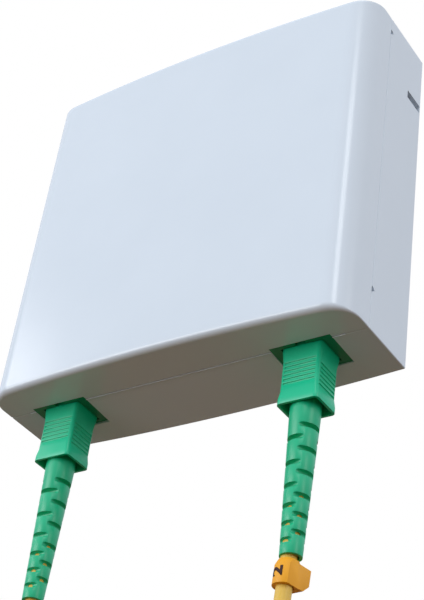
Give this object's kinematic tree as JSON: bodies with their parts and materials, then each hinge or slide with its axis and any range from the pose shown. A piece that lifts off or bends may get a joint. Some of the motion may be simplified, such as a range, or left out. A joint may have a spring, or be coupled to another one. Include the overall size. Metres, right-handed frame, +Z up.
{
  "type": "fibre wall termination box",
  "caption": "White surface-mounted fibre outlet with green angled-polish ports in its lower face and yellow patch cords, with a cable marker, plugged in from below.",
  "frame": {"origin": "middle of the back face, halfway between the two wall screws, on the wall plane", "axes": "+Y into the wall, +Z up, +X to the right seen from the front"},
  "size_m": [0.086, 0.025, 0.2508],
  "materials": {
    "case_white": "glossy moulded plastic",
    "inner_white": "satin moulded plastic",
    "apc_green": "glossy moulded plastic",
    "boot_green": "soft satin plastic",
    "cord_yellow": "satin extruded jacket",
    "marker_amber": "glossy moulded plastic",
    "ceramic": "polished ceramic",
    "spring_steel": "bright drawn steel",
    "screw_steel": "zinc plated steel",
    "cap_clear": "translucent soft plastic",
    "tie_black": "woven hook-and-loop strap",
    "fibre_white": "satin buffer tube",
    "splice_clear": "translucent shrink tube"
  },
  "bodies": {
    "case": {"rear_base": "case_white", "fibre_spool": "inner_white", "splice_holder": "inner_white", "cable_clamp": "spring_steel", "clamp_screws": "screw_steel", "pigtail_bundle": "fibre_white", "adapter_housing_left": "apc_green", "adapter_latches_left": "inner_white", "alignment_sleeve_left": "ceramic", "adapter_clip_left": "spring_steel", "inner_plug_left_body": "apc_green", "inner_plug_left_boot": "boot_green", "inner_plug_left_spring": "spring_steel", "pigtail_left": "fibre_white", "splice_sleeve_left": "splice_clear", "adapter_housing_right": "apc_green", "adapter_latches_right": "inner_white", "alignment_sleeve_right": "ceramic", "adapter_clip_right": "spring_steel", "inner_plug_right_body": "apc_green", "inner_plug_right_boot": "boot_green", "inner_plug_right_spring": "spring_steel", "pigtail_right": "fibre_white", "splice_sleeve_right": "splice_clear"},
    "cover": {"front_cover": "case_white"},
    "plug_left": {"plug_left_body": "apc_green", "plug_left_boot": "boot_green", "plug_left_spring": "spring_steel", "patch_cord_left": "cord_yellow", "cable_coil_left": "cord_yellow", "coil_tie_left": "tie_black", "far_plug_left_body": "apc_green", "far_plug_left_boot": "boot_green", "far_plug_left_spring": "spring_steel"},
    "grip_left": {"plug_left_grip": "apc_green"},
    "ferrule_left": {"plug_left_ferrule": "ceramic"},
    "inner_grip_left": {"inner_plug_left_grip": "apc_green"},
    "inner_ferrule_left": {"inner_plug_left_ferrule": "ceramic"},
    "far_grip_left": {"far_plug_left_grip": "apc_green"},
    "far_ferrule_left": {"far_plug_left_ferrule": "ceramic"},
    "dust_cap_left": {"dust_cap_left": "cap_clear"},
    "plug_right": {"plug_right_body": "apc_green", "plug_right_boot": "boot_green", "plug_right_spring": "spring_steel", "patch_cord_right": "cord_yellow", "cable_coil_right": "cord_yellow", "coil_tie_right": "tie_black", "far_plug_right_body": "apc_green", "far_plug_right_boot": "boot_green", "far_plug_right_spring": "spring_steel", "marker_ring": "marker_amber"},
    "grip_right": {"plug_right_grip": "apc_green"},
    "ferrule_right": {"plug_right_ferrule": "ceramic"},
    "inner_grip_right": {"inner_plug_right_grip": "apc_green"},
    "inner_ferrule_right": {"inner_plug_right_ferrule": "ceramic"},
    "far_grip_right": {"far_plug_right_grip": "apc_green"},
    "far_ferrule_right": {"far_plug_right_ferrule": "ceramic"},
    "dust_cap_right": {"dust_cap_right": "cap_clear"}
  },
  "joints": [
    {"name": "cover_lift", "type": "slide", "parent": "case", "child": "cover", "axis": [0, -1, 0], "range_m": [0, 0.03]},
    {"name": "plug_pull_left", "type": "slide", "parent": "case", "child": "plug_left", "axis": [0, 0, -1], "range_m": [0, 0.016]},
    {"name": "grip_slide_left", "type": "slide", "parent": "plug_left", "child": "grip_left", "axis": [0, 0, -1], "range_m": [0, 0.0015]},
    {"name": "ferrule_float_left", "type": "slide", "parent": "plug_left", "child": "ferrule_left", "axis": [0, 0, -1], "range_m": [0, 0.001], "stiffness_N_per_m": 1500, "springref_m": -0.0015, "deforming": ["plug_left_spring"]},
    {"name": "inner_grip_slide_left", "type": "slide", "parent": "case", "child": "inner_grip_left", "axis": [0, 0, 1], "range_m": [0, 0.0015]},
    {"name": "inner_ferrule_float_left", "type": "slide", "parent": "case", "child": "inner_ferrule_left", "axis": [0, 0, 1], "range_m": [0, 0.001], "stiffness_N_per_m": 1500, "springref_m": -0.0015, "deforming": ["inner_plug_left_spring"]},
    {"name": "far_grip_slide_left", "type": "slide", "parent": "plug_left", "child": "far_grip_left", "axis": [0, 0, 1], "range_m": [0, 0.0015]},
    {"name": "far_ferrule_float_left", "type": "slide", "parent": "plug_left", "child": "far_ferrule_left", "axis": [0, 0, 1], "range_m": [0, 0.001], "stiffness_N_per_m": 1500, "springref_m": -0.0015, "deforming": ["far_plug_left_spring"]},
    {"name": "dust_cap_pull_left", "type": "slide", "parent": "plug_left", "child": "dust_cap_left", "axis": [0, 0, -1], "range_m": [0, 0.01]},
    {"name": "plug_pull_right", "type": "slide", "parent": "case", "child": "plug_right", "axis": [0, 0, -1], "range_m": [0, 0.016]},
    {"name": "grip_slide_right", "type": "slide", "parent": "plug_right", "child": "grip_right", "axis": [0, 0, -1], "range_m": [0, 0.0015]},
    {"name": "ferrule_float_right", "type": "slide", "parent": "plug_right", "child": "ferrule_right", "axis": [0, 0, -1], "range_m": [0, 0.001], "stiffness_N_per_m": 1500, "springref_m": -0.0015, "deforming": ["plug_right_spring"]},
    {"name": "inner_grip_slide_right", "type": "slide", "parent": "case", "child": "inner_grip_right", "axis": [0, 0, 1], "range_m": [0, 0.0015]},
    {"name": "inner_ferrule_float_right", "type": "slide", "parent": "case", "child": "inner_ferrule_right", "axis": [0, 0, 1], "range_m": [0, 0.001], "stiffness_N_per_m": 1500, "springref_m": -0.0015, "deforming": ["inner_plug_right_spring"]},
    {"name": "far_grip_slide_right", "type": "slide", "parent": "plug_right", "child": "far_grip_right", "axis": [0, 0, 1], "range_m": [0, 0.0015]},
    {"name": "far_ferrule_float_right", "type": "slide", "parent": "plug_right", "child": "far_ferrule_right", "axis": [0, 0, 1], "range_m": [0, 0.001], "stiffness_N_per_m": 1500, "springref_m": -0.0015, "deforming": ["far_plug_right_spring"]},
    {"name": "dust_cap_pull_right", "type": "slide", "parent": "plug_right", "child": "dust_cap_right", "axis": [0, 0, -1], "range_m": [0, 0.01]}
  ]
}
